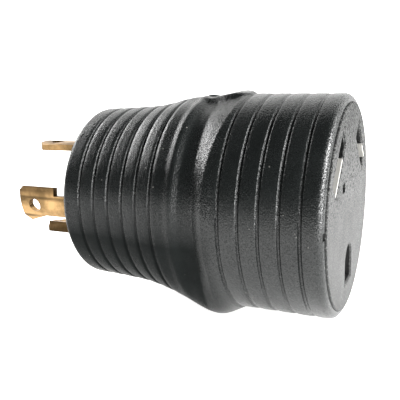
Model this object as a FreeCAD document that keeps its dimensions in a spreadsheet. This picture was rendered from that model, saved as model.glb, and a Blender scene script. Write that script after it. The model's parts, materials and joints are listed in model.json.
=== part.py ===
import FreeCAD, Part
import math
import os
import re

import Sketcher

# One-piece moulded power adapter: a round twist-lock plug with four curved blades at one end and a
# 30 A receptacle (two slanted slots and an arched ground hole) at the other end.
# X runs along the axis from the plug to the receptacle, Z is up, and the origin is the centre of the
# plug's seating face. All sizes are millimetres and degrees.

DRIVING = {
    # grip shell, outside
    "body_length": 63.2,
    "plug_radius": 21.7,
    "barrel_x": 14.5,
    "barrel_radius": 22.45,
    "flare_x": 20.0,
    "flare_radius": 23.3,
    "shoulder_x": 29.6,
    "shoulder_radius": 24.95,
    "neck_front_x": 31.7,
    "neck_back_x": 34.8,
    "neck_radius": 23.9,
    "slope_x": 37.8,
    "slope_radius": 25.0,
    "socket_x": 40.0,
    "socket_radius": 25.5,
    "plug_rim_round": 1.4,
    "socket_rim_round": 1.7,
    # ring grooves
    "groove_width": 0.8,
    "groove_depth": 0.55,
    "plug_groove_x": 4.95,
    "plug_groove_pitch": 3.95,
    "socket_groove_x": 41.3,
    "socket_groove_pitch": 4.33,
    # recess in the top pad, and the flat under the bulge
    "recess_x": 33.0,
    "recess_height": 25.2,
    "recess_depth": 0.45,
    "ramp_angle": 10.5,
    "flat_height": 26.4,
    # grip shell, inside
    "carrier_radius": 17.0,
    "carrier_depth": 9.0,
    "core_front_radius": 16.0,
    "core_back_radius": 20.6,
    "housing_x": 40.0,
    "housing_radius": 21.6,
    "insert_x": 60.2,
    "insert_radius": 23.6,
    "insert_gap": 0.1,
    "insert_proud": 0.4,
    "face_round": 0.35,
    "key_width": 1.6,
    "key_height": 1.1,
    "key_setback": 0.3,
    # blades
    "blade_radius": 12.8,
    "blade_thickness": 1.6,
    "blade_reach": 20.3,
    "notch_reach": 9.3,
    "blade_tail": 12.0,
    "blade_hole_reach": 15.9,
    "blade_hole_radius": 1.75,
    "hook_height": 2.85,
    "hook_angle": 8.0,
    # crimp barrels and wires
    "crimp_radius": 2.6,
    "crimp_length": 8.0,
    "conductor_radius": 1.5,
    "insulation_radius": 2.4,
    "wire_bend": 6.0,
    "wire_bend_start_x": 20.5,
    "wire_bend_end_x": 38.5,
    "crimp_grip": 5.5,
    "conductor_low_x": 13.5,
    "conductor_high_x": 45.5,
    "insulation_low_x": 19.0,
    # receptacle
    "slot_y": 12.5,
    "slot_z": 11.9,
    "slot_angle": 45.0,
    "slot_length": 13.2,
    "slot_width": 4.4,
    "slot_chamfer": 0.4,
    "ground_z": -12.7,
    "ground_width": 7.4,
    "ground_height": 8.8,
    "chamber_width": 5.6,
    "chamber_length": 13.2,
    "ground_chamber_radius": 5.2,
    "gate_y": -7.5,
    "gate_z": 5.9,
    "gate_length": 2.7,
    "gate_height": 2.1,
    "gate_depth": 0.5,
    # contacts
    "contact_x": 46.0,
    "contact_base": 1.0,
    "leaf_thickness": 0.8,
    "leaf_gap": 1.5,
    "leaf_width": 9.0,
    "leaf_shift": 1.2,
    "leaf_flare_x": 56.0,
    "leaf_flare": 0.9,
    "leaf_tip_x": 60.0,
    "tongue_root": 1.0,
    "tongue_tip_x": 63.5,
    "tongue_gap": 0.05,
    "band_x": 49.0,
    "band_length": 6.0,
    "band_thickness": 0.6,
    "sleeve_inner_radius": 3.1,
    "sleeve_outer_radius": 3.8,
    "sleeve_slit": 1.2,
}

PLUG_GROOVES = 6
SOCKET_GROOVES = 5
GROOVE_MOUTH = 0.02
GROOVE_PEAK = 4.0

# Stations of the pad on top of the neck: distance along X, half width of its flat and height of its flat.
PAD_STATIONS = [(21.0, 0.6, 22.9), (27.6, 2.8, 24.15), (33.0, 4.2, 25.1), (35.6, 4.5, 25.75)]
PAD_STATIONS += [(38.0, 4.4, 26.15), (40.6, 2.6, 25.6), (43.0, 0.8, 24.2)]
PAD_FLANK_RUN = 4.5
PAD_FLANK_DROP = 7.2
PAD_FLOOR_Z = 10.0

# Stations of the bulge under the neck: distance along X, radius and how far its centre lies below the axis.
BULGE_STATIONS = [(22.0, 23.5, 0.1), (28.0, 23.5, 2.3), (32.0, 21.6, 6.5)]
BULGE_STATIONS += [(36.0, 21.7, 7.6), (38.5, 23.5, 4.4), (42.0, 25.3, 0.1)]
FLAT_SPAN = (20.0, 46.0)
FLAT_WIDTH = 60.0

# The recess's outline: distance along X from its middle and half width.
RECESS_OUTLINE = [(-5.6, 0.15), (-4.0, 1.1), (-1.0, 2.4), (2.0, 3.1), (3.8, 3.0), (5.0, 2.2), (5.6, 0.6)]

# Space kept between a tool's outline and the surface it cuts.
CLEAR = 1.0

# Blade outlines as angles about the axis, from the blade's own centre line: head edge and neck edge on the
# notched side, then neck edge and head edge on the plain side.
TIP_BEVEL = 1.1
PLAIN_BEVEL = 1.6
TAPER_RUN = 3.8
HOOK_SETBACK = 0.8
BARREL_LAP = 1.0

WIDE_BLADE = {"head_up": 12.5, "neck_up": 2.3, "neck_down": 24.0, "head_down": 33.0}
NARROW_BLADE = {"head_up": 16.5, "neck_up": 6.0, "neck_down": 14.0, "head_down": 17.0}

# Each blade's outline and its turn about the axis from the near side.
BLADES = {
    "hot": (WIDE_BLADE, 0.0),
    "neutral": (NARROW_BLADE, -90.0),
    "ground": (NARROW_BLADE, 90.0),
    "spare_hot": (WIDE_BLADE, 180.0),
}

# Each contact's side of the receptacle: -1 near, 1 far, 0 on the ground hole's centre line.
CONTACTS = {"hot": -1, "neutral": 1, "ground": 0}

# How far up each slot its contact's tongue reaches, from the slot's middle.
TONGUE_TOPS = {"hot": 2.7, "neutral": -1.8}

doc = FreeCAD.newDocument("power_adapter")
sheet = doc.addObject("Spreadsheet::Sheet", "Sizes")
nodes = []


def fill_sheet():
    """Write the driving dimensions to the spreadsheet, one row each, with an alias."""
    for row, (alias, value) in enumerate(DRIVING.items(), start=1):
        sheet.set(f"A{row}", alias)
        sheet.set(f"B{row}", str(value))
        sheet.setAlias(f"B{row}", alias)
    doc.recompute()


def size(alias):
    """A driving dimension as a number."""
    return float(sheet.get(alias))


def named(text):
    """An expression in which each driving dimension's alias is written out with its sheet."""
    return re.sub(r"[a-z_]+", lambda found: f"Sizes.{found[0]}" if found[0] in DRIVING else found[0], text)


def new_body(label):
    body = doc.addObject("PartDesign::Body", label + "_body")
    body.Label = label
    return body


def new_sketch(body, name, role, offset=None):
    """A sketch on one of the body's own origin planes, moved by offset where one is given."""
    sketch = body.newObject("Sketcher::SketchObject", name)
    support = next(item for item in body.Origin.OriginFeatures if item.Role == role)
    sketch.AttachmentSupport = (support, [""])
    sketch.MapMode = "FlatFace"
    if offset is not None:
        sketch.AttachmentOffset = offset
    return sketch


def pin_one(sketch, kind, edge, end, text):
    """Fix one coordinate, DistanceX or DistanceY, of an edge's end at an expression."""
    value = float(sketch.evalExpression(named(text)))
    if abs(value) < 1e-9:
        axis = -2 if kind == "DistanceX" else -1
        sketch.addConstraint(Sketcher.Constraint("PointOnObject", edge, end, axis))
    else:
        index = sketch.addConstraint(Sketcher.Constraint(kind, -1, 1, edge, end, value))
        sketch.setExpression(f"Constraints[{index}]", named(text))


def pin_point(sketch, edge, end, across, up):
    """Fix one end of an edge at a place given by two expressions."""
    pin_one(sketch, "DistanceX", edge, end, across)
    pin_one(sketch, "DistanceY", edge, end, up)


def draw_polygon(sketch, corners):
    """A closed outline whose corners are pairs of expressions."""
    places = []
    for across, up in corners:
        x = float(sketch.evalExpression(named(across)))
        y = float(sketch.evalExpression(named(up)))
        places.append(FreeCAD.Vector(x, y, 0))
    first = sketch.GeometryCount
    count = len(places)
    for i in range(count):
        sketch.addGeometry(Part.LineSegment(places[i], places[(i + 1) % count]), False)
    for i in range(count):
        sketch.addConstraint(Sketcher.Constraint("Coincident", first + i, 2, first + (i + 1) % count, 1))
    for i in range(count):
        pin_point(sketch, first + i, 1, *corners[i])


def draw_circle(sketch, across, up, radius):
    """A circle whose centre and radius are expressions."""
    x = float(sketch.evalExpression(named(across)))
    y = float(sketch.evalExpression(named(up)))
    r = float(sketch.evalExpression(named(radius)))
    circle = sketch.addGeometry(Part.Circle(FreeCAD.Vector(x, y, 0), FreeCAD.Vector(0, 0, 1), r), False)
    pin_point(sketch, circle, 3, across, up)
    index = sketch.addConstraint(Sketcher.Constraint("Radius", circle, r))
    sketch.setExpression(f"Constraints[{index}]", named(radius))


def rectangle(x_low, y_low, x_high, y_high):
    return [(x_low, y_low), (x_high, y_low), (x_high, y_high), (x_low, y_high)]


def revolve(body, sketch, name, cut=False):
    """A full turn of a sketch about the body's X axis, added or cut."""
    feature = body.newObject("PartDesign::Groove" if cut else "PartDesign::Revolution", name)
    feature.Profile = sketch
    feature.ReferenceAxis = (sketch, ["H_Axis"])
    feature.Angle = 360
    return feature


def pad(body, sketch, name, length, reverse=False, middle=False):
    feature = body.newObject("PartDesign::Pad", name)
    feature.Profile = sketch
    feature.setExpression("Length", named(length))
    feature.Reversed = reverse
    feature.Midplane = middle
    return feature


def pocket(body, sketch, name, length=None, reverse=False, middle=False):
    """A cut along the sketch's normal, which must take some volume away."""
    doc.recompute()
    before = body.Tip.Shape.Volume
    feature = body.newObject("PartDesign::Pocket", name)
    feature.Profile = sketch
    if length is None:
        feature.Type = "ThroughAll"
    else:
        feature.setExpression("Length", named(length))
    feature.Reversed = reverse
    feature.Midplane = middle
    doc.recompute()
    if feature.Shape.Volume >= before:
        raise RuntimeError(f"{name} cuts nothing")
    return feature


def round_edges(body, name, radius, wanted):
    """A fillet on every edge of the body's last feature that wanted accepts."""
    doc.recompute()
    base = body.Tip
    picked = [f"Edge{i}" for i, edge in enumerate(base.Shape.Edges, start=1) if wanted(edge)]
    if not picked:
        raise RuntimeError(f"{name} finds no edge")
    feature = body.newObject("PartDesign::Fillet", name)
    feature.Base = (base, picked)
    feature.setExpression("Radius", named(radius))
    doc.recompute()
    return feature


def bevel_edges(body, name, width, wanted):
    """A chamfer on every edge of the body's last feature that wanted accepts."""
    doc.recompute()
    base = body.Tip
    picked = [f"Edge{i}" for i, edge in enumerate(base.Shape.Edges, start=1) if wanted(edge)]
    if not picked:
        raise RuntimeError(f"{name} finds no edge")
    feature = body.newObject("PartDesign::Chamfer", name)
    feature.Base = (base, picked)
    feature.setExpression("Size", named(width))
    doc.recompute()
    return feature


def is_ring(edge, x, radius):
    """True for a full circle about the X axis at a place and radius."""
    curve = edge.Curve
    if not isinstance(curve, Part.Circle) or not edge.isClosed():
        return False
    return abs(curve.Center.x - x) < 0.01 and abs(curve.Radius - radius) < 0.01


def placed(y=0.0, z=0.0, turn=0.0):
    """A placement across the axis, turned about X first."""
    return FreeCAD.Placement(FreeCAD.Vector(0, y, z), FreeCAD.Rotation(FreeCAD.Vector(1, 0, 0), turn))


def along(x):
    """The offset that moves a cross-section sketch along the axis."""
    return FreeCAD.Placement(FreeCAD.Vector(0, 0, x), FreeCAD.Rotation())


def flat_at(edge, x, reach):
    """True for an edge that lies across the axis at a place, within a radius."""
    if abs(edge.BoundBox.XMin - x) > 0.01 or abs(edge.BoundBox.XMax - x) > 0.01:
        return False
    return max(math.hypot(v.Y, v.Z) for v in edge.Vertexes) < reach


def keep(item, label):
    """List an object as a sub-part of the adapter."""
    item.Label = label
    nodes.append(item)
    return item


def outer_radius(x):
    """Radius of the shell's outside at a place along X, without its pads and grooves."""
    line = [
        (0.0, size("plug_radius")),
        (size("barrel_x"), size("barrel_radius")),
        (size("flare_x"), size("flare_radius")),
        (size("shoulder_x"), size("shoulder_radius")),
        (size("neck_front_x"), size("neck_radius")),
        (size("neck_back_x"), size("neck_radius")),
        (size("slope_x"), size("slope_radius")),
        (size("socket_x"), size("socket_radius")),
        (size("body_length"), size("socket_radius")),
    ]
    for (x_low, r_low), (x_high, r_high) in zip(line, line[1:]):
        if x <= x_high:
            return r_low + (r_high - r_low) * (x - x_low) / (x_high - x_low)
    return line[-1][1]


def shell_outside(body):
    """The turned outside of the shell, solid to the axis."""
    sketch = new_sketch(body, "outside_profile", "XY_Plane")
    draw_polygon(
        sketch,
        [
            ("0", "0"),
            ("0", "plug_radius"),
            ("barrel_x", "barrel_radius"),
            ("flare_x", "flare_radius"),
            ("shoulder_x", "shoulder_radius"),
            ("neck_front_x", "neck_radius"),
            ("neck_back_x", "neck_radius"),
            ("slope_x", "slope_radius"),
            ("socket_x", "socket_radius"),
            ("body_length", "socket_radius"),
            ("body_length", "0"),
        ],
    )
    revolve(body, sketch, "outside")


def loft(body, name, sections):
    """A smooth body through cross-section sketches."""
    doc.recompute()
    feature = body.newObject("PartDesign::AdditiveLoft", name)
    feature.Profile = sections[0]
    feature.Sections = sections[1:]
    feature.Ruled = False
    doc.recompute()


def shell_top_pad(body):
    """The raised pad on top of the neck, with a flat ramp and steep flanks."""
    sections = []
    for i, (x, half_width, height) in enumerate(PAD_STATIONS):
        sketch = new_sketch(body, f"pad_section_{i}", "YZ_Plane", along(x))
        foot = half_width + PAD_FLANK_RUN
        heel = height - PAD_FLANK_DROP
        outline = [(-half_width, height), (half_width, height), (foot, heel), (foot, PAD_FLOOR_Z)]
        outline += [(-foot, PAD_FLOOR_Z), (-foot, heel)]
        draw_polygon(sketch, [(str(y), str(z)) for y, z in outline])
        sections.append(sketch)
    loft(body, "top_pad", sections)


def shell_bulge(body):
    """The round bulge under the neck, cut to a flat the shell can stand on."""
    sections = []
    for i, (x, radius, drop) in enumerate(BULGE_STATIONS):
        sketch = new_sketch(body, f"bulge_section_{i}", "YZ_Plane", along(x))
        draw_circle(sketch, "0", f"{-drop}", f"{radius}")
        sections.append(sketch)
    loft(body, "bottom_bulge", sections)
    below = f"-flat_height - 5 * {CLEAR}"
    sketch = new_sketch(body, "flat_outline", "XZ_Plane")
    draw_polygon(sketch, rectangle(f"{FLAT_SPAN[0]}", below, f"{FLAT_SPAN[1]}", "-flat_height"))
    pocket(body, sketch, "bottom_flat", f"{FLAT_WIDTH}", middle=True)


def shell_recess(body):
    """The shallow teardrop recess in the top pad's ramp."""
    tilt = FreeCAD.Rotation(FreeCAD.Vector(0, 1, 0), -size("ramp_angle"))
    middle = FreeCAD.Vector(size("recess_x"), 0, size("recess_height"))
    sketch = new_sketch(body, "recess_outline", "XY_Plane", FreeCAD.Placement(middle, tilt))
    near = [(f"{x}", f"{-half}") for x, half in RECESS_OUTLINE]
    far = [(f"{x}", f"{half}") for x, half in reversed(RECESS_OUTLINE)]
    draw_polygon(sketch, near + far)
    pocket(body, sketch, "pad_recess", "recess_depth")


def shell_grooves(body):
    """Ring grooves round the plug end and the socket end, cut to one depth below the local surface."""
    rings = [
        ("plug_groove_x", "plug_groove_pitch", PLUG_GROOVES),
        ("socket_groove_x", "socket_groove_pitch", SOCKET_GROOVES),
    ]
    sketch = new_sketch(body, "groove_profile", "XY_Plane")
    for start, pitch, count in rings:
        for k in range(count):
            x = size(start) + k * size(pitch)
            top = outer_radius(x)
            low = f"{start} + {k} * {pitch} - groove_width / 2"
            high = f"{start} + {k} * {pitch} + groove_width / 2"
            middle = f"{start} + {k} * {pitch}"
            mouth = f"{top} + {GROOVE_MOUTH}"
            floor = f"{top} - groove_depth"
            peak = f"{top} + {GROOVE_PEAK}"
            draw_polygon(sketch, [(low, mouth), (middle, floor), (high, mouth), (middle, peak)])
    revolve(body, sketch, "ring_grooves", cut=True)


def shell_cavity(body):
    """The turned hollow that holds the carrier, the core, the contact housing and the face insert."""
    sketch = new_sketch(body, "cavity_profile", "XY_Plane")
    draw_polygon(
        sketch,
        [
            ("0", "0"),
            ("0", "carrier_radius"),
            ("carrier_depth", "carrier_radius"),
            ("carrier_depth", "core_front_radius"),
            ("housing_x", "core_back_radius"),
            ("housing_x", "housing_radius"),
            ("insert_x", "housing_radius"),
            ("insert_x", "insert_radius + insert_gap"),
            ("body_length", "insert_radius + insert_gap"),
            ("body_length", "0"),
        ],
    )
    revolve(body, sketch, "cavity", cut=True)


def shell_key_seats(body):
    """Two notches in the rim, on the horizontal diameter, for the insert's keys."""
    offset = FreeCAD.Placement(FreeCAD.Vector(0, 0, size("insert_x")), FreeCAD.Rotation())
    sketch = new_sketch(body, "key_seat_outline", "YZ_Plane", offset)
    reach = "insert_radius + key_height"
    draw_polygon(sketch, rectangle(f"-( {reach} )", "-key_width / 2", reach, "key_width / 2"))
    pocket(body, sketch, "key_seats", "body_length - insert_x", reverse=True)


def make_grip_shell():
    body = new_body("grip_shell")
    shell_outside(body)
    shell_top_pad(body)
    shell_bulge(body)
    shell_recess(body)
    shell_grooves(body)
    plug_ring = (0.0, size("plug_radius"))
    socket_ring = (size("body_length"), size("socket_radius"))
    round_edges(body, "plug_rim", "plug_rim_round", lambda e: is_ring(e, *plug_ring))
    round_edges(body, "socket_rim", "socket_rim_round", lambda e: is_ring(e, *socket_ring))
    shell_cavity(body)
    shell_key_seats(body)
    keep(body, "grip_shell")


def sweep_arc(body, name, x_range, r_low, up, down, turn=0.0, cut=False):
    """A curved strip about the axis, turned up and down from the near side by two angles."""
    offset = placed(turn=turn)
    sketch = new_sketch(body, name + "_section", "XY_Plane", offset)
    draw_polygon(sketch, rectangle(x_range[0], "-blade_radius", x_range[1], r_low))
    feature = body.newObject("PartDesign::Groove" if cut else "PartDesign::Revolution", name)
    feature.Profile = sketch
    feature.ReferenceAxis = (sketch, ["H_Axis"])
    feature.Type = "TwoAngles"
    feature.Angle = down
    feature.Angle2 = up
    doc.recompute()
    return feature


def blade_height(angle):
    """Height on the blade's outer face at an angle about the axis."""
    return size("blade_radius") * math.sin(math.radians(angle))


def blade_trims(body, shape):
    """Bevel the blade's tip corners and taper its plain side toward the neck."""
    top = blade_height(shape["head_up"])
    bottom = -blade_height(shape["head_down"])
    neck = -blade_height(shape["neck_down"])
    tip = "-blade_reach"
    past = f"-blade_reach - {CLEAR}"
    sketch = new_sketch(body, "trim_outline", "XZ_Plane")
    upper = [(past, f"{top - TIP_BEVEL}"), (tip, f"{top - TIP_BEVEL}"), (f"{tip} + {TIP_BEVEL}", f"{top}")]
    upper += [(f"{tip} + {TIP_BEVEL}", f"{top + CLEAR}"), (past, f"{top + CLEAR}")]
    draw_polygon(sketch, upper)
    lower = [(past, f"{bottom + PLAIN_BEVEL}"), (tip, f"{bottom + PLAIN_BEVEL}")]
    lower += [(f"{tip} + {PLAIN_BEVEL}", f"{bottom}"), (f"-notch_reach - {TAPER_RUN}", f"{neck}")]
    lower += [("-notch_reach", f"{neck}"), ("-notch_reach", f"{bottom - CLEAR}"), (past, f"{bottom - CLEAR}")]
    draw_polygon(sketch, lower)
    pocket(body, sketch, "trims", reverse=True)


def blade_barrel(body, shape):
    """The crimp barrel on the blade's tail, with its bore for the conductor."""
    middle = math.radians((shape["neck_up"] - shape["neck_down"]) / 2)
    radius = size("blade_radius") - size("blade_thickness") / 2
    across = f"{-radius * math.cos(middle)}"
    up = f"{radius * math.sin(middle)}"
    start = size("blade_tail") - BARREL_LAP
    outline = new_sketch(body, "crimp_outline", "YZ_Plane", along(start))
    draw_circle(outline, across, up, "crimp_radius")
    pad(body, outline, "crimp_barrel", "crimp_length")
    bore = new_sketch(body, "crimp_bore_outline", "YZ_Plane", along(start + size("crimp_length")))
    draw_circle(bore, across, up, "conductor_radius")
    pocket(body, bore, "crimp_bore", "crimp_grip")


def make_blade(label, shape, turn, wired=True, hooked=False):
    """A twist-lock blade drawn on the near side of the axis, then turned about X to its place."""
    body = new_body(label)
    inner = "-( blade_radius - blade_thickness )"
    head = ("-blade_reach", "-notch_reach")
    sweep_arc(body, "head", head, inner, shape["head_up"], shape["head_down"])
    sweep_arc(body, "neck", ("-notch_reach", "blade_tail"), inner, shape["neck_up"], shape["neck_down"])
    if hooked:
        flange = (f"-blade_reach + {HOOK_SETBACK}", "-notch_reach")
        low = size("hook_angle") - shape["head_up"]
        sweep_arc(body, "hook", flange, "-( blade_radius - hook_height )", shape["head_up"], low)
    blade_trims(body, shape)
    hole = new_sketch(body, "hole_outline", "XZ_Plane")
    height = blade_height((shape["head_up"] - shape["head_down"]) / 2)
    draw_circle(hole, "-blade_hole_reach", f"{height}", "blade_hole_radius")
    pocket(body, hole, "blade_hole", reverse=True)
    if wired:
        blade_barrel(body, shape)
    doc.recompute()
    body.Placement = placed(turn=turn)
    return keep(body, label)


def make_carrier():
    """The disc at the plug face through which the four blades pass."""
    body = new_body("blade_carrier")
    sketch = new_sketch(body, "disc_outline", "YZ_Plane")
    draw_circle(sketch, "0", "0", "carrier_radius")
    pad(body, sketch, "disc", "carrier_depth")
    doc.recompute()
    inner = "-( blade_radius - blade_thickness )"
    past = (f"-{CLEAR}", f"carrier_depth + {CLEAR}")
    for name, (shape, turn) in BLADES.items():
        sweep_arc(body, f"{name}_slot", past, inner, shape["neck_up"], shape["neck_down"], turn, cut=True)
    keep(body, "blade_carrier")


def wire_start(name):
    """Middle of a blade's crimp barrel, across the axis."""
    shape, turn = BLADES[name]
    radius = size("blade_radius") - size("blade_thickness") / 2
    angle = math.radians((shape["neck_up"] - shape["neck_down"]) / 2)
    place = FreeCAD.Vector(0, -radius * math.cos(angle), radius * math.sin(angle))
    return FreeCAD.Rotation(FreeCAD.Vector(1, 0, 0), turn).multVec(place)


def wire_end(name):
    """Middle of a contact's crimp barrel, across the axis."""
    side = CONTACTS[name]
    if side == 0:
        return FreeCAD.Vector(0, 0, size("ground_z"))
    return FreeCAD.Vector(0, side * size("slot_y"), size("slot_z"))


def bend_angle(rise):
    """Turn of each of the wire's two equal bends for a given sideways rise."""
    run = size("wire_bend_end_x") - size("wire_bend_start_x")
    twice = 2 * size("wire_bend")
    return math.asin(twice / math.hypot(twice - rise, run)) - math.atan2(twice - rise, run)


def draw_wire_path(sketch, x_low, x_high, rise):
    """A straight, two equal and opposite bends with a straight between, and a straight."""
    bend = size("wire_bend")
    turn = bend_angle(rise)
    first = size("wire_bend_start_x")
    last = size("wire_bend_end_x")
    swing = FreeCAD.Vector(bend * math.sin(turn), bend * (1 - math.cos(turn)), 0)
    points = [FreeCAD.Vector(size(x_low), 0, 0), FreeCAD.Vector(first, 0, 0)]
    points += [points[1] + swing, FreeCAD.Vector(last, rise, 0) - swing]
    points += [FreeCAD.Vector(last, rise, 0), FreeCAD.Vector(size(x_high), rise, 0)]
    up = FreeCAD.Vector(0, 0, 1)
    low_circle = Part.Circle(points[1] + FreeCAD.Vector(0, bend, 0), up, bend)
    high_circle = Part.Circle(points[4] - FreeCAD.Vector(0, bend, 0), up, bend)
    quarter = math.pi / 2
    curves = [
        Part.LineSegment(points[0], points[1]),
        Part.ArcOfCircle(low_circle, -quarter, turn - quarter),
        Part.LineSegment(points[2], points[3]),
        Part.ArcOfCircle(high_circle, quarter, quarter + turn),
        Part.LineSegment(points[4], points[5]),
    ]
    for curve in curves:
        sketch.addGeometry(curve, False)
    ends = [(0, 2, 1, 1), (1, 2, 2, 1), (2, 2, 3, 2), (3, 1, 4, 1)]
    for edge, end, following, start in ends:
        sketch.addConstraint(Sketcher.Constraint("Coincident", edge, end, following, start))
    pin_point(sketch, 0, 1, x_low, "0")
    pin_point(sketch, 0, 2, "wire_bend_start_x", "0")
    pin_point(sketch, 1, 3, "wire_bend_start_x", "wire_bend")
    pin_one(sketch, "DistanceX", 1, 2, f"{points[2].x}")
    pin_point(sketch, 3, 3, "wire_bend_end_x", f"{rise} - wire_bend")
    pin_one(sketch, "DistanceX", 2, 2, f"{points[3].x}")
    pin_point(sketch, 4, 1, "wire_bend_end_x", f"{rise}")
    pin_point(sketch, 4, 2, x_high, f"{rise}")


def draw_wire(body, name, ends, radius, cut=False):
    """A round strand swept from a blade's barrel toward a contact's barrel."""
    start = wire_start(name)
    across = wire_end(name) - start
    lean = math.degrees(math.atan2(across.z, across.y))
    offset = placed(start.y, start.z, lean)
    kind = "core" if cut else "strand"
    path = new_sketch(body, kind + "_path", "XY_Plane", offset)
    draw_wire_path(path, ends[0], ends[1], across.Length)
    ring = new_sketch(body, kind + "_section", "YZ_Plane", along(size(ends[0])))
    draw_circle(ring, f"{start.y}", f"{start.z}", radius)
    doc.recompute()
    sweep = body.newObject("PartDesign::SubtractivePipe" if cut else "PartDesign::AdditivePipe", kind)
    sweep.Profile = ring
    sweep.Spine = (path, [f"Edge{i}" for i in range(1, 6)])
    doc.recompute()


def make_conductor(name):
    body = new_body(f"{name}_conductor")
    draw_wire(body, name, ("conductor_low_x", "conductor_high_x"), "conductor_radius")
    return keep(body, f"{name}_conductor")


def make_insulation(name):
    body = new_body(f"{name}_insulation")
    ends = ("insulation_low_x", "housing_x")
    draw_wire(body, name, ends, "insulation_radius")
    draw_wire(body, name, ends, "conductor_radius", cut=True)
    return keep(body, f"{name}_insulation")


def make_core(tools):
    """The filling between the plug end and the contact housing, moulded round the blades' tails and wires."""
    cone = doc.addObject("Part::Cone", "core_cone")
    cone.setExpression("Radius1", named("core_front_radius"))
    cone.setExpression("Radius2", named("core_back_radius"))
    cone.setExpression("Height", named("housing_x - carrier_depth"))
    turn = FreeCAD.Rotation(FreeCAD.Vector(0, 1, 0), 90)
    cone.Placement = FreeCAD.Placement(FreeCAD.Vector(size("carrier_depth"), 0, 0), turn)
    inside = doc.addObject("Part::MultiFuse", "core_inside")
    inside.Shapes = tools
    core = doc.addObject("Part::Cut", "core")
    core.Base = cone
    core.Tool = inside
    doc.recompute()
    keep(core, "core_filler")


def slot_offset(side, x):
    """The sketch frame of a slanted slot: its first axis across the slot, its second along it."""
    turn = FreeCAD.Rotation(FreeCAD.Vector(0, 0, 1), side * size("slot_angle"))
    return FreeCAD.Placement(FreeCAD.Vector(side * size("slot_y"), size("slot_z"), x), turn)


def draw_arch(sketch, width, height):
    """An arch round toward the axis and flat outside, about the ground hole's round centre."""
    half = size(width) / 2
    foot = size(height) - half
    low = size("ground_z") - foot
    centre = FreeCAD.Vector(0, size("ground_z"), 0)
    top = Part.ArcOfCircle(Part.Circle(centre, FreeCAD.Vector(0, 0, 1), half), 0, math.pi)
    arc = sketch.addGeometry(top, False)
    corners = [FreeCAD.Vector(-half, centre.y, 0), FreeCAD.Vector(-half, low, 0)]
    corners += [FreeCAD.Vector(half, low, 0), FreeCAD.Vector(half, centre.y, 0)]
    first = sketch.GeometryCount
    for i in range(3):
        sketch.addGeometry(Part.LineSegment(corners[i], corners[i + 1]), False)
    sketch.addConstraint(Sketcher.Constraint("Coincident", arc, 2, first, 1))
    sketch.addConstraint(Sketcher.Constraint("Coincident", first, 2, first + 1, 1))
    sketch.addConstraint(Sketcher.Constraint("Coincident", first + 1, 2, first + 2, 1))
    sketch.addConstraint(Sketcher.Constraint("Coincident", first + 2, 2, arc, 1))
    pin_point(sketch, arc, 3, "0", "ground_z")
    pin_point(sketch, arc, 2, f"-{width} / 2", "ground_z")
    pin_one(sketch, "DistanceY", arc, 1, "ground_z")
    pin_point(sketch, first + 1, 1, f"-{width} / 2", f"ground_z - {height} + {width} / 2")
    pin_point(sketch, first + 1, 2, f"{width} / 2", f"ground_z - {height} + {width} / 2")


def face_disc(body):
    """The insert's disc with its two keys."""
    sketch = new_sketch(body, "disc_outline", "YZ_Plane", along(size("insert_x")))
    draw_circle(sketch, "0", "0", "insert_radius")
    pad(body, sketch, "disc", "body_length + insert_proud - insert_x")
    keys = new_sketch(body, "key_outline", "YZ_Plane", along(size("insert_x")))
    reach = "insert_radius + key_height - insert_gap"
    half = "( key_width / 2 - insert_gap )"
    draw_polygon(keys, rectangle(f"-( {reach} )", f"-{half}", reach, half))
    pad(body, keys, "keys", "body_length - insert_x - key_setback")
    doc.recompute()


def make_face():
    """The flat insert at the receptacle end, with two slanted slots and the ground hole."""
    body = new_body("receptacle_face")
    face_disc(body)
    front = size("body_length") + size("insert_proud")
    rim = (front, size("insert_radius"))
    round_edges(body, "face_rim", "face_round", lambda e: is_ring(e, *rim))
    for side, name in ((-1, "left"), (1, "right")):
        sketch = new_sketch(body, f"{name}_slot_outline", "YZ_Plane", slot_offset(side, front))
        half = "slot_width / 2"
        draw_polygon(sketch, rectangle(f"-{half}", "-slot_length / 2", half, "slot_length / 2"))
        pocket(body, sketch, f"{name}_slot")
    arch = new_sketch(body, "ground_outline", "YZ_Plane", along(front))
    draw_arch(arch, "ground_width", "ground_height")
    pocket(body, arch, "ground_hole")
    inside = size("insert_radius") - CLEAR
    bevel_edges(body, "mouths", "slot_chamfer", lambda e: flat_at(e, front, inside))
    gate = new_sketch(body, "gate_outline", "YZ_Plane", along(front))
    low_y, high_y = "gate_y - gate_length / 2", "gate_y + gate_length / 2"
    low_z, high_z = "gate_z - gate_height / 2", "gate_z + gate_height / 2"
    draw_polygon(gate, rectangle(low_y, low_z, high_y, high_z))
    pocket(body, gate, "gate_recess", "gate_depth")
    doc.recompute()
    keep(body, "receptacle_face")


def make_housing():
    """The block behind the insert, with a chamber for each contact and a hole for its barrel."""
    body = new_body("contact_housing")
    sketch = new_sketch(body, "block_outline", "YZ_Plane", along(size("housing_x")))
    draw_circle(sketch, "0", "0", "housing_radius")
    pad(body, sketch, "block", "insert_x - housing_x")
    depth = "insert_x - contact_x"
    for name, side in CONTACTS.items():
        if side == 0:
            room = new_sketch(body, f"{name}_chamber_outline", "YZ_Plane", along(size("insert_x")))
            draw_circle(room, "0", "ground_z", "ground_chamber_radius")
        else:
            frame = slot_offset(side, size("insert_x"))
            room = new_sketch(body, f"{name}_chamber_outline", "YZ_Plane", frame)
            half = "chamber_width / 2"
            draw_polygon(room, rectangle(f"-{half}", "-chamber_length / 2", half, "chamber_length / 2"))
        pocket(body, room, f"{name}_chamber", depth)
        hole = new_sketch(body, f"{name}_barrel_outline", "YZ_Plane", along(size("contact_x")))
        place = wire_end(name)
        draw_circle(hole, f"{place.y}", f"{place.z}", "crimp_radius")
        pocket(body, hole, f"{name}_barrel_hole", "contact_x - housing_x")
    doc.recompute()
    keep(body, "contact_housing")


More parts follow.
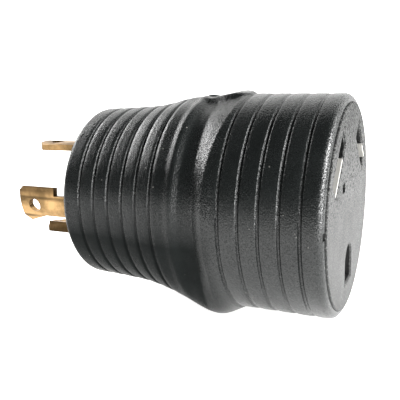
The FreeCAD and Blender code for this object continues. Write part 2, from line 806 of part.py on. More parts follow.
def contact_barrel(body):
    """The crimp barrel behind a contact, bored from its rear."""
    outline = new_sketch(body, "barrel_outline", "YZ_Plane", along(size("housing_x")))
    draw_circle(outline, "0", "0", "crimp_radius")
    pad(body, outline, "barrel", "contact_x - housing_x")


def contact_bore(body):
    bore = new_sketch(body, "bore_outline", "YZ_Plane", along(size("housing_x")))
    draw_circle(bore, "0", "0", "conductor_radius")
    pocket(body, bore, "bore", "conductor_high_x - housing_x", reverse=True)


def place_contact(body, side):
    """Move a contact or its clip from the axis to its chamber, turned to the slot's slant."""
    if side == 0:
        body.Placement = placed(0, size("ground_z"))
    else:
        body.Placement = placed(side * size("slot_y"), size("slot_z"), side * size("slot_angle"))


def make_slot_contact(name, side):
    """Two sprung leaves joined at the rear and flared at the mouth; the far one runs on into the slot."""
    body = new_body(f"{name}_contact")
    contact_barrel(body)
    near = "( leaf_gap / 2 )"
    far = "( leaf_gap / 2 + leaf_thickness )"
    offset = placed(z=-size("leaf_shift"))
    sketch = new_sketch(body, "leaf_profile", "XY_Plane", offset)
    outer = [("contact_x", far), ("leaf_flare_x", far), ("leaf_tip_x", f"{far} + leaf_flare")]
    inner = [("leaf_tip_x", f"{near} + leaf_flare"), ("leaf_flare_x", near)]
    inner += [("contact_x + contact_base", near)]
    half = outer + inner
    mirrored = [(x, f"-( {y} )") for x, y in reversed(half)]
    draw_polygon(sketch, half + mirrored)
    pad(body, sketch, "leaves", "leaf_width", middle=True)
    tongue = new_sketch(body, "tongue_outline", "YZ_Plane", along(size("leaf_tip_x") - size("tongue_root")))
    low = ("slot_width / 2 - leaf_thickness", "tongue_gap - slot_length / 2")
    high = ("slot_width / 2 - tongue_gap", f"{TONGUE_TOPS[name]}")
    draw_polygon(tongue, rectangle(*low, *high))
    pad(body, tongue, "tongue", "tongue_tip_x - leaf_tip_x + tongue_root")
    contact_bore(body)
    doc.recompute()
    place_contact(body, side)
    keep(body, f"{name}_contact")


def make_slot_clip(name, side):
    """A steel band round the two leaves."""
    body = new_body(f"{name}_contact_clip")
    sketch = new_sketch(body, "band_outline", "YZ_Plane", along(size("band_x")))
    wide = "( leaf_gap / 2 + leaf_thickness )"
    high = "leaf_width / 2"
    for extra in ("0", "band_thickness"):
        corners = rectangle(
            f"-{wide} - {extra}",
            f"-leaf_shift - {high} - {extra}",
            f"{wide} + {extra}",
            f"-leaf_shift + {high} + {extra}",
        )
        draw_polygon(sketch, corners)
    pad(body, sketch, "band", "band_length")
    doc.recompute()
    place_contact(body, side)
    keep(body, f"{name}_contact_clip")


def make_ground_contact():
    """A slit sleeve for the round ground pin."""
    body = new_body("ground_contact")
    contact_barrel(body)
    sleeve = new_sketch(body, "sleeve_outline", "YZ_Plane", along(size("contact_x")))
    draw_circle(sleeve, "0", "0", "sleeve_outer_radius")
    pad(body, sleeve, "sleeve", "leaf_tip_x - contact_x")
    bore = new_sketch(body, "pin_bore_outline", "YZ_Plane", along(size("leaf_tip_x")))
    draw_circle(bore, "0", "0", "sleeve_inner_radius")
    pocket(body, bore, "pin_bore", "leaf_tip_x - contact_x - contact_base")
    slit = new_sketch(body, "slit_outline", "XZ_Plane")
    half = "sleeve_slit / 2"
    draw_polygon(slit, rectangle("contact_x + 2 * contact_base", f"-{half}", f"leaf_tip_x + {CLEAR}", half))
    pocket(body, slit, "slits", "3 * sleeve_outer_radius", middle=True)
    contact_bore(body)
    doc.recompute()
    place_contact(body, 0)
    keep(body, "ground_contact")


def make_ground_clip():
    """A steel ring round the ground sleeve."""
    body = new_body("ground_contact_clip")
    sketch = new_sketch(body, "ring_outline", "YZ_Plane", along(size("band_x")))
    draw_circle(sketch, "0", "0", "sleeve_outer_radius")
    draw_circle(sketch, "0", "0", "sleeve_outer_radius + band_thickness")
    pad(body, sketch, "ring", "band_length")
    doc.recompute()
    place_contact(body, 0)
    keep(body, "ground_contact_clip")


def save_parts():
    """Check every object, then write each sub-part's shape."""
    doc.recompute()
    for item in doc.Objects:
        if "Invalid" in item.State or "Error" in item.State:
            raise RuntimeError(f"{item.Label} failed: {item.State}")
    os.makedirs("parts", exist_ok=True)
    for item in nodes:
        shape = item.Shape
        if shape.isNull() or not shape.isValid():
            raise RuntimeError(f"{item.Label} has no valid shape")
        shape.exportStep(f"parts/{item.Label}.step")


fill_sheet()
make_grip_shell()
tools = []
for blade_name, (blade_shape, blade_turn) in BLADES.items():
    has_wire = blade_name in CONTACTS
    tools.append(make_blade(f"{blade_name}_blade", blade_shape, blade_turn, has_wire, blade_name == "ground"))
make_carrier()
for wire_name in CONTACTS:
    tools.append(make_conductor(wire_name))
    tools.append(make_insulation(wire_name))
make_core(tools)
make_face()
make_housing()
for contact_name in ("hot", "neutral"):
    make_slot_contact(contact_name, CONTACTS[contact_name])
    make_slot_clip(contact_name, CONTACTS[contact_name])
make_ground_contact()
make_ground_clip()
save_parts()
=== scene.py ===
import json
import math

import bmesh
import bpy
import numpy as np
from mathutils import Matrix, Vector


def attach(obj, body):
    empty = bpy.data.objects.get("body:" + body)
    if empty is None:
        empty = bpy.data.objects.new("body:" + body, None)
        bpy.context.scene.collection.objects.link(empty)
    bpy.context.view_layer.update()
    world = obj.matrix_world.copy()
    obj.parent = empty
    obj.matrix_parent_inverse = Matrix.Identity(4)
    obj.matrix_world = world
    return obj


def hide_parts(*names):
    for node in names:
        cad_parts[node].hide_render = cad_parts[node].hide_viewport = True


# A one-piece moulded power adapter: twist-lock plug, ribbed black grip shell and a 30 A receptacle.
# Metres, X along the axis from the plug to the receptacle, Z up. MM turns millimetres into metres.

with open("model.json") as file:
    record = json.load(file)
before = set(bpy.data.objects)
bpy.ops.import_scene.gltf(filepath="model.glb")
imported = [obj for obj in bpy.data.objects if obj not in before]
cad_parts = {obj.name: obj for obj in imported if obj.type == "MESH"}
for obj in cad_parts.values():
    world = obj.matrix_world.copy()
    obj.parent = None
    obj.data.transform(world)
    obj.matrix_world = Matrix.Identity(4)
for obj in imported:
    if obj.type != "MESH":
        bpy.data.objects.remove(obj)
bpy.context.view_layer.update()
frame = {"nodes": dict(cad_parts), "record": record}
MM = 0.001


# ---------------------------------------------------------------- shell shape

BODY_LENGTH = 63.2
SOCKET_RADIUS = 25.5
PLUG_ROUND = 1.4
SOCKET_ROUND = 1.7
BORE_RADIUS = 23.70
BORE_X = 60.2
LEDGE_RADIUS = 21.6
CARRIER_RADIUS = 17.0
KEY_HALF_WIDTH = 0.8
KEY_RADIUS = 24.7
KEY_MID_RADIUS = 24.2

# Radius of the shell's outside along X.
PROFILE = [
    (0.0, 21.7), (8.0, 22.05), (14.5, 22.45), (17.0, 22.72), (20.0, 23.3), (23.0, 23.85), (26.0, 24.4),
    (28.3, 24.5), (29.7, 24.95), (30.3, 24.9), (31.7, 24.0), (32.5, 23.85), (35.2, 23.88), (36.4, 24.36),
    (37.8, 24.86), (40.0, 25.5), (63.2, 25.5),
]
EDGE_X = 40.0

# The slope behind the neck: its start, how far its start and edge move toward each other down the sides,
# the turns from the top over which they move, and the stretch of X that takes up the difference.
SLOPE_X = 35.3
SLOPE_START = 34.4
SLOPE_SHIFT = 0.7
EDGE_SHIFT = 2.3
SLOPE_TURNS = (0.3, 1.28)
SLOPE_REACH = (33.0, 42.0)
PLUG_GROOVES = [4.95 + 3.95 * k for k in range(6)]
SOCKET_GROOVES = [41.3 + 4.33 * k for k in range(5)]
GROOVE_HALF = 0.46
GROOVE_DEPTH = 0.55

# Top pad along X: height of its flat and half its width. Its flanks fall steeply to the neck.
PAD_HEIGHT = [(20.0, 22.9), (24.9, 23.65), (27.6, 24.05), (30.3, 24.45), (33.0, 24.95), (35.6, 25.55),
              (38.0, 25.95), (39.3, 25.8), (40.6, 25.4), (41.8, 24.9), (44.0, 23.5)]
PAD_HALF = [(20.0, 0.0), (26.4, 2.4), (29.3, 3.4), (32.2, 4.0), (35.0, 4.4), (37.4, 4.5), (38.7, 4.2),
            (39.9, 3.4), (41.8, 0.0), (44.0, -4.0)]
FLANK_SLOPE = 1.6
TOP_LIMIT = 26.13
# Where along X the pad and bulge come in and go out, how far down from the top the pad is looked at, and
# the least cosine a flat's height is divided by.
PADS_FROM = 20.5
PADS_TO = 43.5
TOP_COS = 0.4
LEAST_COS = 0.2
PAD_BLEND = 0.5
# How many places the shell's mesh has along X: in all, across each groove, and along the waist.
STATIONS = 127
GROOVE_STATIONS = 17
WAIST_STATIONS = 70
WAIST_X = (22, 43)
RIM_STEPS = 8
# How many angles the shell's mesh has round the axis, and how many more close ones over the top pad.
TURNS_ROUND = 200
PAD_TURNS = 71
PAD_SPREAD = 0.5
FLANK_BLEND = 1.1

# Bottom bulge along X: its radius, fading out up the near and far sides, and the height of its flat.
BULGE = [(16.0, 22.6), (20.0, 23.3), (22.0, 23.85), (24.0, 24.2), (26.0, 24.8), (28.0, 25.45), (30.0, 26.2),
         (32.0, 27.0), (34.0, 27.65), (35.8, 27.95), (37.0, 27.85), (38.0, 27.45), (40.0, 26.2),
         (41.6, 25.5), (44.0, 25.3)]
BULGE_FADE = (24.0, 60.0)
BULGE_FLAT = 26.25

# Shallow teardrop recess on the top pad: half its width along X, and its depth.
RECESS_HALF = [(27.2, 0.0), (29.0, 1.1), (32.0, 2.4), (35.0, 3.1), (36.8, 3.0), (38.0, 2.2), (38.6, 0.0)]
RECESS_DEPTH = 0.45
RECESS_EDGE = 0.45


def softer_max(a, b, width):
    return (a + b + np.sqrt((a - b) ** 2 + width ** 2)) / 2


def softer_min(a, b, width):
    return (a + b - np.sqrt((a - b) ** 2 + width ** 2)) / 2


def smooth_step(t):
    t = np.clip(t, 0, 1)
    return t * t * (3 - 2 * t)


def along_x(x, stations):
    return np.interp(x, [p[0] for p in stations], [p[1] for p in stations])


def eased(x, stations, half, crisp_at=None):
    """Values between stations with the corners eased over half a width, in steps of 0.02."""
    fine = np.linspace(-2, 66, 3401)
    raw = along_x(fine, stations)
    out = {}
    for reach in (10, half):
        kernel = np.hanning(2 * reach + 3)
        out[reach] = np.convolve(np.pad(raw, reach + 1, mode="edge"), kernel / kernel.sum(), mode="valid")
    if crisp_at is None:
        return np.interp(x, fine, out[half])
    crisp = np.exp(-(((fine - crisp_at) / 1.5) ** 2))
    return np.interp(x, fine, crisp * out[10] + (1 - crisp) * out[half])


def groove_cut(x):
    """How far the ring grooves lower the surface, with each band slightly crowned."""
    cut = np.zeros_like(x)
    for middle in PLUG_GROOVES + SOCKET_GROOVES:
        away = np.abs(x - middle)
        cut = np.maximum(cut, GROOVE_DEPTH * np.clip(1 - (away / GROOVE_HALF) ** 2, 0, 1) ** 0.8)
        cut = np.maximum(cut, 0.1 * np.clip(1 - (away - GROOVE_HALF) / 0.9, 0, 1) ** 2)
    return cut


def top_pad(x, turn):
    """Radius of the top pad's flat and flanks; turn is the angle from its middle."""
    height = eased(x, PAD_HEIGHT, 40)
    half = eased(x, PAD_HALF, 40)
    cos = np.cos(turn)
    sin = np.abs(np.sin(turn))
    flat = height / np.maximum(cos, LEAST_COS)
    flank = (height + FLANK_SLOPE * half) / (cos + FLANK_SLOPE * sin)
    return softer_min(flat, flank, PAD_BLEND)


def bottom_bulge(x, base, turn):
    """Radius of the bottom bulge; turn is the angle from its middle."""
    low, high = (math.radians(90 - v) for v in BULGE_FADE)
    share = smooth_step((low - np.abs(turn)) / (low - high))
    radius = base + (eased(x, BULGE, 60) - base) * share
    flat = BULGE_FLAT / np.maximum(np.cos(turn), LEAST_COS)
    return softer_min(radius, np.maximum(flat, base), 0.6) + 0.15 * share


def slope_place(x, from_top):
    """Places along X moved so that the slope behind the neck narrows from the top down to the sides."""
    share = smooth_step((np.abs(from_top) - SLOPE_TURNS[0]) / (SLOPE_TURNS[1] - SLOPE_TURNS[0]))
    start = SLOPE_START + SLOPE_SHIFT * share
    edge = EDGE_X - EDGE_SHIFT * share
    low, high = SLOPE_REACH
    before = low + (x - low) * (SLOPE_X - low) / (start - low)
    within = SLOPE_X + (x - start) * (EDGE_X - SLOPE_X) / (edge - start)
    after = EDGE_X + (x - edge) * (high - EDGE_X) / (high - edge)
    moved = np.where(x < start, before, np.where(x < edge, within, after))
    return np.where((x < low) | (x > high), x, moved)


def shell_radius(x, turn):
    """Outside radius at places x (a column) and angles turn (a row) from -Y toward +Z."""
    spread = (turn + math.pi) % (2 * math.pi) - math.pi
    from_top = (spread - math.pi / 2 + math.pi) % (2 * math.pi) - math.pi
    from_low = (spread + math.pi / 2 + math.pi) % (2 * math.pi) - math.pi
    base = eased(slope_place(x, from_top), PROFILE, 26, EDGE_X)
    edge = np.clip((x - PADS_FROM) / 4, 0, 1) * np.clip((PADS_TO - x) / 2.5, 0, 1)
    pad = np.where(np.cos(from_top) > TOP_COS, top_pad(x, from_top), 0.0)
    raised = softer_max(base, np.maximum(pad, base - 3), FLANK_BLEND) - 0.03
    radius = base + (raised - base) * edge * (np.cos(from_top) > TOP_COS)
    radius = np.minimum(radius, TOP_LIMIT / np.maximum(np.cos(from_top), LEAST_COS))
    across = np.abs(radius * np.cos(turn))
    room = along_x(x, RECESS_HALF) - across
    radius = radius - RECESS_DEPTH * smooth_step(room / RECESS_EDGE) * (np.cos(from_top) > TOP_COS)
    low = bottom_bulge(x, base, from_low)
    radius = np.where(np.cos(from_low) > 0, base + (low - base) * edge, radius)
    return radius - groove_cut(x)


def shell_stations():
    """Places along X, close together at the grooves and along the waist, short of the rounded rims."""
    xs = set(np.round(np.linspace(0, BODY_LENGTH, STATIONS), 3))
    for middle in PLUG_GROOVES + SOCKET_GROOVES:
        xs.update(np.round(middle + np.linspace(-1.0, 1.0, GROOVE_STATIONS), 3))
    xs.update(np.round(np.linspace(WAIST_X[0], WAIST_X[1], WAIST_STATIONS), 3))
    return [x for x in sorted(xs) if PLUG_ROUND < x < BODY_LENGTH - SOCKET_ROUND]


def shell_turns():
    """Angles round the axis, closer together at the keys and over the top pad."""
    even = np.linspace(0, 2 * math.pi, TURNS_ROUND, endpoint=False)
    turns = set(np.round(even[np.abs(even - math.pi / 2) > PAD_SPREAD], 4))
    turns.update(np.round(np.linspace(math.pi / 2 - PAD_SPREAD, math.pi / 2 + PAD_SPREAD, PAD_TURNS), 4))
    edge = math.asin(KEY_HALF_WIDTH / KEY_MID_RADIUS)
    for middle in (0, math.pi):
        for side in (-1, 1):
            turns.add(round((middle + side * edge) % (2 * math.pi), 4))
            turns.add(round((middle + side * (edge - 0.003)) % (2 * math.pi), 4))
    return np.array(sorted(turns))


def rim_loop(radius_at, turn, plug):
    """Rings of a rounded rim as (x, radius) pairs, from the side surface to the end face."""
    rings = []
    size = PLUG_ROUND if plug else SOCKET_ROUND
    for step in range(1, RIM_STEPS + 1):
        angle = step / RIM_STEPS * math.pi / 2
        inward = size * (1 - math.cos(angle))
        along = size * (1 - math.sin(angle))
        x = along if plug else BODY_LENGTH - along
        rings.append((np.full_like(turn, x), radius_at - inward))
    return rings


def build_shell():
    turn = shell_turns()
    xs = np.array(shell_stations())
    grid = shell_radius(xs[:, None], turn[None, :])
    rings = [(np.zeros_like(turn), np.full_like(turn, CARRIER_RADIUS))]
    plug_side = shell_radius(np.array([[PLUG_ROUND]]), turn[None, :])[0]
    rings += list(reversed(rim_loop(plug_side, turn, True)))
    rings += [(np.full_like(turn, x), grid[i]) for i, x in enumerate(xs)]
    socket_side = np.full_like(turn, SOCKET_RADIUS)
    rings += rim_loop(socket_side, turn, False)
    near_key = np.abs(np.sin(turn)) * KEY_MID_RADIUS <= KEY_HALF_WIDTH - 0.03
    inner = np.where(near_key, KEY_RADIUS, BORE_RADIUS)
    past_round = (KEY_RADIUS - SOCKET_RADIUS + SOCKET_ROUND) / SOCKET_ROUND
    key_x = BODY_LENGTH - SOCKET_ROUND * (1 - math.sqrt(1 - past_round ** 2))
    for i, (x, radius) in enumerate(rings):
        if x[0] > BODY_LENGTH - SOCKET_ROUND:
            clipped = near_key & (radius < KEY_RADIUS)
            rings[i] = (np.where(clipped, key_x, x), np.where(clipped, KEY_RADIUS, radius))
    rings.append((np.where(near_key, key_x, BODY_LENGTH), inner))
    rings.append((np.full_like(turn, BORE_X), inner))
    rings.append((np.full_like(turn, BORE_X), np.full_like(turn, LEDGE_RADIUS)))
    count = len(turn)
    verts = []
    for x, radius in rings:
        verts += list(zip(x * MM, -radius * np.cos(turn) * MM, radius * np.sin(turn) * MM))
    faces = []
    for i in range(len(rings) - 1):
        for j in range(count):
            k = (j + 1) % count
            faces.append((i * count + j, (i + 1) * count + j, (i + 1) * count + k, i * count + k))
    mesh = bpy.data.meshes.new("grip_shell_visual")
    mesh.from_pydata(verts, [], faces)
    mesh.validate()
    obj = bpy.data.objects.new("grip_shell_visual", mesh)
    bpy.context.scene.collection.objects.link(obj)
    mesh.polygons.foreach_set("use_smooth", [True] * len(mesh.polygons))
    mesh.set_sharp_from_angle(angle=math.radians(50))
    return obj


# ---------------------------------------------------------------- materials


# How far a coarse zone eases in and out along X, the heights over which the coarse grain comes in, and
# the heights and the stretch of X over which painted shade holds back the shine on the plug end's low side.
ZONE_EASE = 0.4
COARSE_Z = (-3, 6)
SHADE_Z = (-6, 4)
SHADE_X = (35, 41)
# Just behind the receptacle end's front face.
FRONT_X = (63.0, 63.4)


class Paint:
    """A small helper for building one node material."""

    def __init__(self, name):
        self.material = bpy.data.materials.new(name)
        self.material.use_nodes = True
        self.tree = self.material.node_tree
        self.tree.nodes.clear()
        self.out = self.tree.nodes.new("ShaderNodeOutputMaterial")
        self.shader = self.tree.nodes.new("ShaderNodeBsdfPrincipled")
        self.tree.links.new(self.shader.outputs["BSDF"], self.out.inputs["Surface"])
        self.coords = self.tree.nodes.new("ShaderNodeTexCoord").outputs["Object"]

    def put(self, socket, value):
        """Link an output, or write a constant."""
        if isinstance(value, bpy.types.NodeSocket):
            self.tree.links.new(value, socket)
        else:
            socket.default_value = value

    def set(self, **inputs):
        for name, value in inputs.items():
            self.put(self.shader.inputs[name.replace("_", " ")], value)

    def noise(self, scale, detail=2.0, rough=0.5, stretch=None):
        node = self.tree.nodes.new("ShaderNodeTexNoise")
        self.put(node.inputs["Vector"], self.coords if stretch is None else self.stretched(stretch))
        self.put(node.inputs["Scale"], scale)
        self.put(node.inputs["Detail"], detail)
        self.put(node.inputs["Roughness"], rough)
        return node.outputs["Fac"]

    def cells(self, scale, feature="F1", output="Distance", random=1.0):
        node = self.tree.nodes.new("ShaderNodeTexVoronoi")
        node.feature = feature
        self.put(node.inputs["Vector"], self.coords)
        self.put(node.inputs["Scale"], scale)
        self.put(node.inputs["Randomness"], random)
        return node.outputs[output]

    def stretched(self, factors):
        node = self.tree.nodes.new("ShaderNodeMapping")
        self.put(node.inputs["Vector"], self.coords)
        self.put(node.inputs["Scale"], factors)
        return node.outputs["Vector"]

    def span(self, value, low, high, to_low=0.0, to_high=1.0):
        node = self.tree.nodes.new("ShaderNodeMapRange")
        node.clamp = True
        for key, item in (("Value", value), ("From Min", low), ("From Max", high)):
            self.put(node.inputs[key], item)
        self.put(node.inputs["To Min"], to_low)
        self.put(node.inputs["To Max"], to_high)
        return node.outputs["Result"]

    def along(self, axis):
        """The place along one axis of the object."""
        apart = self.tree.nodes.new("ShaderNodeSeparateXYZ")
        self.put(apart.inputs[0], self.coords)
        return apart.outputs[axis]

    def coarse_zones(self, zones):
        """One on the upper half inside the given stretches of X, easing to nought outside them."""
        x = self.along("X")
        total = 0.0
        for low, high in zones:
            rise = self.span(x, (low - ZONE_EASE) * MM, (low + ZONE_EASE) * MM)
            fall = self.span(x, (high - ZONE_EASE) * MM, (high + ZONE_EASE) * MM, 1.0, 0.0)
            total = self.math("ADD", total, self.math("MULTIPLY", rise, fall))
        high = self.span(self.along("Z"), COARSE_Z[0] * MM, COARSE_Z[1] * MM)
        return self.math("MULTIPLY", total, high)

    def painted_shade_zone(self):
        """One on the low side of the plug end, where the shine is held back as painted shade, and nought
        elsewhere.
        """
        low = self.span(self.along("Z"), SHADE_Z[0] * MM, SHADE_Z[1] * MM, 1.0, 0.0)
        before = self.span(self.along("X"), SHADE_X[0] * MM, SHADE_X[1] * MM, 1.0, 0.0)
        return self.math("MULTIPLY", low, before)

    def on_front(self):
        """One on the receptacle end's front face, nought inside its holes."""
        return self.span(self.along("X"), FRONT_X[0] * MM, FRONT_X[1] * MM)

    def up_fade(self, low, high, at_low, at_high):
        """A value that changes from one height to another."""
        return self.span(self.along("Z"), low * MM, high * MM, at_low, at_high)

    def math(self, kind, a, b):
        node = self.tree.nodes.new("ShaderNodeMath")
        node.operation = kind
        self.put(node.inputs[0], a)
        self.put(node.inputs[1], b)
        return node.outputs[0]

    def mix(self, factor, a, b):
        node = self.tree.nodes.new("ShaderNodeMix")
        node.data_type = "RGBA"
        self.put(node.inputs["Factor"], factor)
        self.put(node.inputs["A"], a)
        self.put(node.inputs["B"], b)
        return node.outputs["Result"]

    def bump(self, height, strength, distance, base=None):
        node = self.tree.nodes.new("ShaderNodeBump")
        self.put(node.inputs["Height"], height)
        self.put(node.inputs["Strength"], strength)
        self.put(node.inputs["Distance"], distance)
        if base is not None:
            self.put(node.inputs["Normal"], base)
        return node.outputs["Normal"]


def colour(r, g, b):
    return (r, g, b, 1.0)


GRAIN_DEPTH = 0.06
GLINT_SIZE = 0.3
GLINT_LOW = 0.32
GLINT_HIGH = 0.72


def grained_plastic(name, dark, grain, roughness, strength, dust=0.5, zones=(), gloss_and_shade=1.0, painted_shade=0.0,
                    painted_top_shade=None, painted_glints=0.0, depth=GRAIN_DEPTH, speck=0.24):
    """Black moulded PVC: leathery grain, faint mottling, a little dust, painted shade and painted glints.
    """
    p = Paint(name)
    cell = p.cells(1 / (grain * MM), random=0.9)
    fine = p.noise(1 / (0.25 * MM), 3.0, 0.6)
    broad = p.noise(1 / (9 * MM), 4.0, 0.6)
    height = p.math("ADD", p.math("MULTIPLY", cell, 0.8), p.math("MULTIPLY", fine, 0.9))
    normal = p.bump(height, strength, depth * MM)
    wave = p.noise(1 / (14 * MM), 1.0, 0.4)
    normal = p.bump(wave, 0.12, 0.5 * MM, normal)
    specks = p.span(p.cells(1 / (2.6 * MM)), 0.075, 0.04)
    rare = p.span(p.noise(1 / (16 * MM), 2.0), 0.5, 0.6)
    coarse = p.coarse_zones(zones) if zones else 0.0
    # Painted shade: the shine fades from low on the face toward its top, darkening the upper face.
    if painted_top_shade:
        gloss_and_shade = p.up_fade(*painted_top_shade)
    # Painted shade: the shine is held back on the plug end's low side, so that side looks darker.
    if painted_shade:
        gloss_and_shade = p.math("SUBTRACT", gloss_and_shade, p.math("MULTIPLY", p.painted_shade_zone(), painted_shade))
    dusty = p.math("MULTIPLY", p.math("MULTIPLY", specks, rare), dust)
    base = p.mix(p.span(broad, 0.3, 0.7), colour(*dark), colour(*[c * 1.5 for c in dark]))
    # Painted glints: pale specks in the base colour of the front face stand in for sparkle off the grain.
    if painted_glints:
        pale = p.span(p.noise(1 / (0.34 * MM), 2.0, 0.6), 0.54, 0.68, 0.0, painted_glints)
        pale = p.math("MULTIPLY", pale, p.on_front())
        base = p.mix(pale, base, colour(0.26, 0.26, 0.25))
    base = p.mix(dusty, base, colour(0.5, 0.49, 0.46))
    rough = p.span(broad, 0.3, 0.75, roughness - 0.05, roughness + 0.07)
    rough = p.math("ADD", rough, p.span(fine, 0.3, 0.7, -0.04, 0.05))
    sparkle = p.noise(1 / (GLINT_SIZE * MM), 2.0, 0.7)
    even = p.span(sparkle, 0.36, 0.66, GLINT_LOW, GLINT_HIGH)
    sharp = p.span(p.noise(1 / (speck * MM), 1.0, 0.5), 0.39, 0.55, 0.05, 1.2)
    even = p.math("MULTIPLY", even, p.math("SUBTRACT", 1.0, coarse))
    shine = p.math("ADD", even, p.math("MULTIPLY", sharp, coarse))
    shine = p.math("MULTIPLY", shine, gloss_and_shade)
    p.set(Base_Color=base, Roughness=rough, Normal=normal, Specular_IOR_Level=shine)
    return p.material


def stamped_sheet(name, tint, dark, roughness=0.3, metal=1.0):
    """Stamped sheet or drawn wire: fine rolling lines, patchy tarnish, darker sharp edges and small dark
    spots.
    """
    p = Paint(name)
    lines = p.noise(1 / (0.35 * MM), 2.0, 0.6, (0.08, 1.0, 1.0))
    broad = p.noise(1 / (5 * MM), 5.0, 0.65)
    spots = p.span(p.cells(1 / (1.3 * MM)), 0.12, 0.05)
    tarnish = p.span(broad, 0.40, 0.62, 0.0, 0.85)
    base = p.mix(tarnish, colour(*tint), colour(*dark))
    base = p.mix(p.math("MULTIPLY", spots, 0.45), base, colour(*[c * 0.4 for c in dark]))
    # Darker along sharp edges.
    pointiness = p.tree.nodes.new("ShaderNodeNewGeometry").outputs["Pointiness"]
    edges = p.span(pointiness, 0.51, 0.56)
    base = p.mix(p.math("MULTIPLY", edges, 0.8), base, colour(*[c * 0.4 for c in dark]))
    rough = p.span(broad, 0.3, 0.7, roughness, roughness + 0.16)
    rough = p.math("ADD", rough, p.span(lines, 0.3, 0.7, -0.04, 0.06))
    normal = p.bump(lines, 0.18, 0.05 * MM)
    p.set(Base_Color=base, Metallic=metal, Roughness=rough, Normal=normal)
    return p.material


def wire_jacket(name, tint):
    p = Paint(name)
    broad = p.noise(1 / (4 * MM), 3.0)
    fine = p.noise(1 / (0.4 * MM), 2.0)
    base = p.mix(p.span(broad, 0.3, 0.7), colour(*tint), colour(*[c * 0.8 for c in tint]))
    rough = p.span(fine, 0.3, 0.7, 0.3, 0.42)
    p.set(Base_Color=base, Roughness=rough, Normal=p.bump(fine, 0.15, 0.04 * MM))
    return p.material


def make_materials():
    made = {}
    # The shell's shine is held back on the plug end's low side as painted shade.
    made["shell"] = grained_plastic("black_grained_pvc", (0.0085, 0.0098, 0.0096), 0.34, 0.25, 0.9,
                                    zones=((34.4, 40.2), (61.4, 64.0)), painted_shade=0.95)
    made["filler"] = grained_plastic("filler_pvc", (0.03, 0.03, 0.032), 0.9, 0.55, 0.4, 0.0)
    made["carrier"] = grained_plastic("carrier_plastic", (0.018, 0.018, 0.02), 0.5, 0.42, 0.35, 0.3)
    # The face's shine fades toward its top as painted shade, and pale specks are painted on its front as
    # glints.
    made["face_plastic"] = grained_plastic("face_plastic", (0.014, 0.0145, 0.0145), 0.4, 0.44, 0.6, 0.8,
                                           zones=((61.4, 64.0),), painted_top_shade=(-6.0, 19.0, 0.66, 0.10), painted_glints=0.8,
                                           depth=0.15, speck=0.75)
    made["housing_plastic"] = grained_plastic("housing_plastic", (0.03, 0.03, 0.03), 0.6, 0.5, 0.3, 0.0)
    made["blade_brass"] = stamped_sheet("blade_brass", (0.58, 0.365, 0.165), (0.24, 0.15, 0.065))
    # Contacts: a pale plated tone, pushed to near-white and not metal as a painted reflection of the bright
    # shine inside the slots.
    made["contact_brass"] = stamped_sheet("pale_contact", (0.97, 0.96, 0.92), (0.88, 0.86, 0.80), 0.35, 0.0)
    made["clip_steel"] = stamped_sheet("clip_steel", (0.62, 0.62, 0.62), (0.35, 0.35, 0.36), 0.28)
    made["copper"] = stamped_sheet("copper_wire", (0.8, 0.42, 0.26), (0.45, 0.2, 0.1), 0.35)
    made["insulation_black"] = wire_jacket("jacket_black", (0.02, 0.02, 0.02))
    made["insulation_white"] = wire_jacket("jacket_white", (0.75, 0.74, 0.7))
    made["insulation_green"] = wire_jacket("jacket_green", (0.03, 0.28, 0.1))
    return made


def dress(obj, material):
    obj.data.materials.clear()
    obj.data.materials.append(material)


def paint_cad(made):
    slots = {row["node"]: row["material_slot"] for row in frame["record"]["subparts"]}
    for name, node in frame["nodes"].items():
        dress(node, made[slots[name]])


def rounded_copy(name, width, made_material):
    """A copy of a CAD node with its sharp edges rounded, shown in the node's place."""
    source = frame["nodes"][name]
    mesh = source.data.copy()
    bm = bmesh.new()
    bm.from_mesh(mesh)
    bmesh.ops.remove_doubles(bm, verts=bm.verts, dist=1e-6)
    bmesh.ops.dissolve_limit(bm, angle_limit=math.radians(0.6), verts=bm.verts, edges=bm.edges)
    bm.to_mesh(mesh)
    bm.free()
    obj = bpy.data.objects.new(name + "_visual", mesh)
    bpy.context.scene.collection.objects.link(obj)
    bevel = obj.modifiers.new("edges", "BEVEL")
    bevel.width = width * MM
    bevel.segments = 3
    bevel.limit_method = "ANGLE"
    bevel.angle_limit = math.radians(35)
    bevel.harden_normals = True
    mesh.polygons.foreach_set("use_smooth", [True] * len(mesh.polygons))
    mesh.set_sharp_from_angle(angle=math.radians(35))
    dress(obj, made_material)
    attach(obj, "root")
    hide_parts(name)
    return obj


# ---------------------------------------------------------------- stage

CAMERA_PLACE = Vector((86.81, -132.45, 35.40)) * MM
CAMERA_FORWARD = Vector((-0.40324, 0.88241, -0.24263))
CAMERA_RIGHT = Vector((0.91272, 0.40744, -0.03514))
CAMERA_LENS = 53.39
FLOOR_Z = -26.4
FLOOR_GLOW = 1.02
# The paper sweep in metres: its front and back edges, half its width, its curve and its top.
FLOOR_FRONT = -1.2
FLOOR_BACK = 0.9
FLOOR_HALF = 2.5
SWEEP_RADIUS = 0.5
SWEEP_STEPS = 12
SWEEP_TOP = 2.0


def make_camera():
    data = bpy.data.cameras.new("camera")
    data.lens = CAMERA_LENS
    data.sensor_width = 36
    data.clip_start = 0.01
    camera = bpy.data.objects.new("camera", data)
    bpy.context.scene.collection.objects.link(camera)
    forward = CAMERA_FORWARD.normalized()
    right = (CAMERA_RIGHT - CAMERA_RIGHT.dot(forward) * forward).normalized()
    up = right.cross(forward)
    matrix = camera.matrix_world.copy()
    for row in range(3):
        matrix[row][0] = right[row]
        matrix[row][1] = up[row]
        matrix[row][2] = -forward[row]
        matrix[row][3] = CAMERA_PLACE[row]
    camera.matrix_world = matrix
    bpy.context.scene.camera = camera


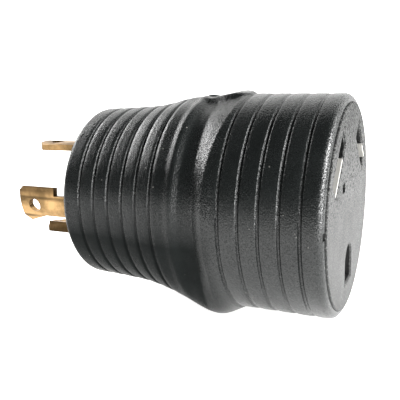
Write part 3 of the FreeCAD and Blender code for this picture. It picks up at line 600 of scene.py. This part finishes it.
def area_light(name, place, target, size, power):
    data = bpy.data.lights.new(name, "AREA")
    data.shape = "RECTANGLE"
    data.size, data.size_y = size
    data.energy = power
    light = bpy.data.objects.new(name, data)
    bpy.context.scene.collection.objects.link(light)
    light.location = place
    light.rotation_euler = (Vector(target) - Vector(place)).to_track_quat("-Z", "Y").to_euler()


def make_floor():
    """A pale, faintly glowing paper sweep: level under the object, then curving up far behind it."""
    low = FLOOR_Z * MM
    line = [(FLOOR_FRONT, low), (FLOOR_BACK, low)]
    for step in range(1, SWEEP_STEPS + 1):
        angle = step / SWEEP_STEPS * math.pi / 2
        back = FLOOR_BACK + SWEEP_RADIUS * math.sin(angle)
        line.append((back, low + SWEEP_RADIUS * (1 - math.cos(angle))))
    line.append((FLOOR_BACK + SWEEP_RADIUS, SWEEP_TOP))
    verts = [(x, y, z) for y, z in line for x in (-FLOOR_HALF, FLOOR_HALF)]
    faces = [(2 * i, 2 * i + 1, 2 * i + 3, 2 * i + 2) for i in range(len(line) - 1)]
    mesh = bpy.data.meshes.new("floor")
    mesh.from_pydata(verts, [], faces)
    mesh.polygons.foreach_set("use_smooth", [True] * len(mesh.polygons))
    floor = bpy.data.objects.new("floor", mesh)
    bpy.context.scene.collection.objects.link(floor)
    p = Paint("floor_paper")
    broad = p.noise(1 / (60 * MM), 2.0)
    p.set(Base_Color=p.mix(broad, colour(0.93, 0.93, 0.93), colour(0.96, 0.96, 0.96)), Roughness=0.8)
    p.set(Emission_Color=colour(1.0, 1.0, 0.985), Emission_Strength=FLOOR_GLOW)
    dress(floor, p.material)


def make_world():
    world = bpy.data.worlds.new("studio")
    bpy.context.scene.world = world
    world.use_nodes = True
    tree = world.node_tree
    tree.nodes.clear()
    out = tree.nodes.new("ShaderNodeOutputWorld")
    shade = tree.nodes.new("ShaderNodeBackground")
    shade.inputs["Color"].default_value = (0.93, 0.96, 1.0, 1.0)
    shade.inputs["Strength"].default_value = WORLD_STRENGTH
    tree.links.new(shade.outputs[0], out.inputs["Surface"])


WORLD_STRENGTH = 0.03
BLADE_EDGE = 0.3
# Each light: place, what it points at, width and height, power.
LIGHTS = {
    "left_window": ((-0.66, 0.16, 0.38), (0.03, 0.0, 0.0), (0.60, 0.24), 4.6),
    "right_top": ((0.66, 0.02, 0.36), (0.05, 0.0, 0.0), (0.50, 0.22), 8.0),
    "right_low": ((0.66, -0.27, 0.06), (0.05, 0.0, 0.0), (0.30, 0.16), 3.6),
}

bpy.context.scene.view_settings.view_transform = "Standard"
made = make_materials()
paint_cad(made)
shell = build_shell()
dress(shell, made["shell"])
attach(shell, "root")
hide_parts("grip_shell")
for blade in ("hot_blade", "spare_hot_blade", "neutral_blade", "ground_blade"):
    rounded_copy(blade, BLADE_EDGE, made["blade_brass"])
make_floor()
make_world()
make_camera()
for light_name, (place, target, spread, power) in LIGHTS.items():
    area_light(light_name, place, target, spread, power)
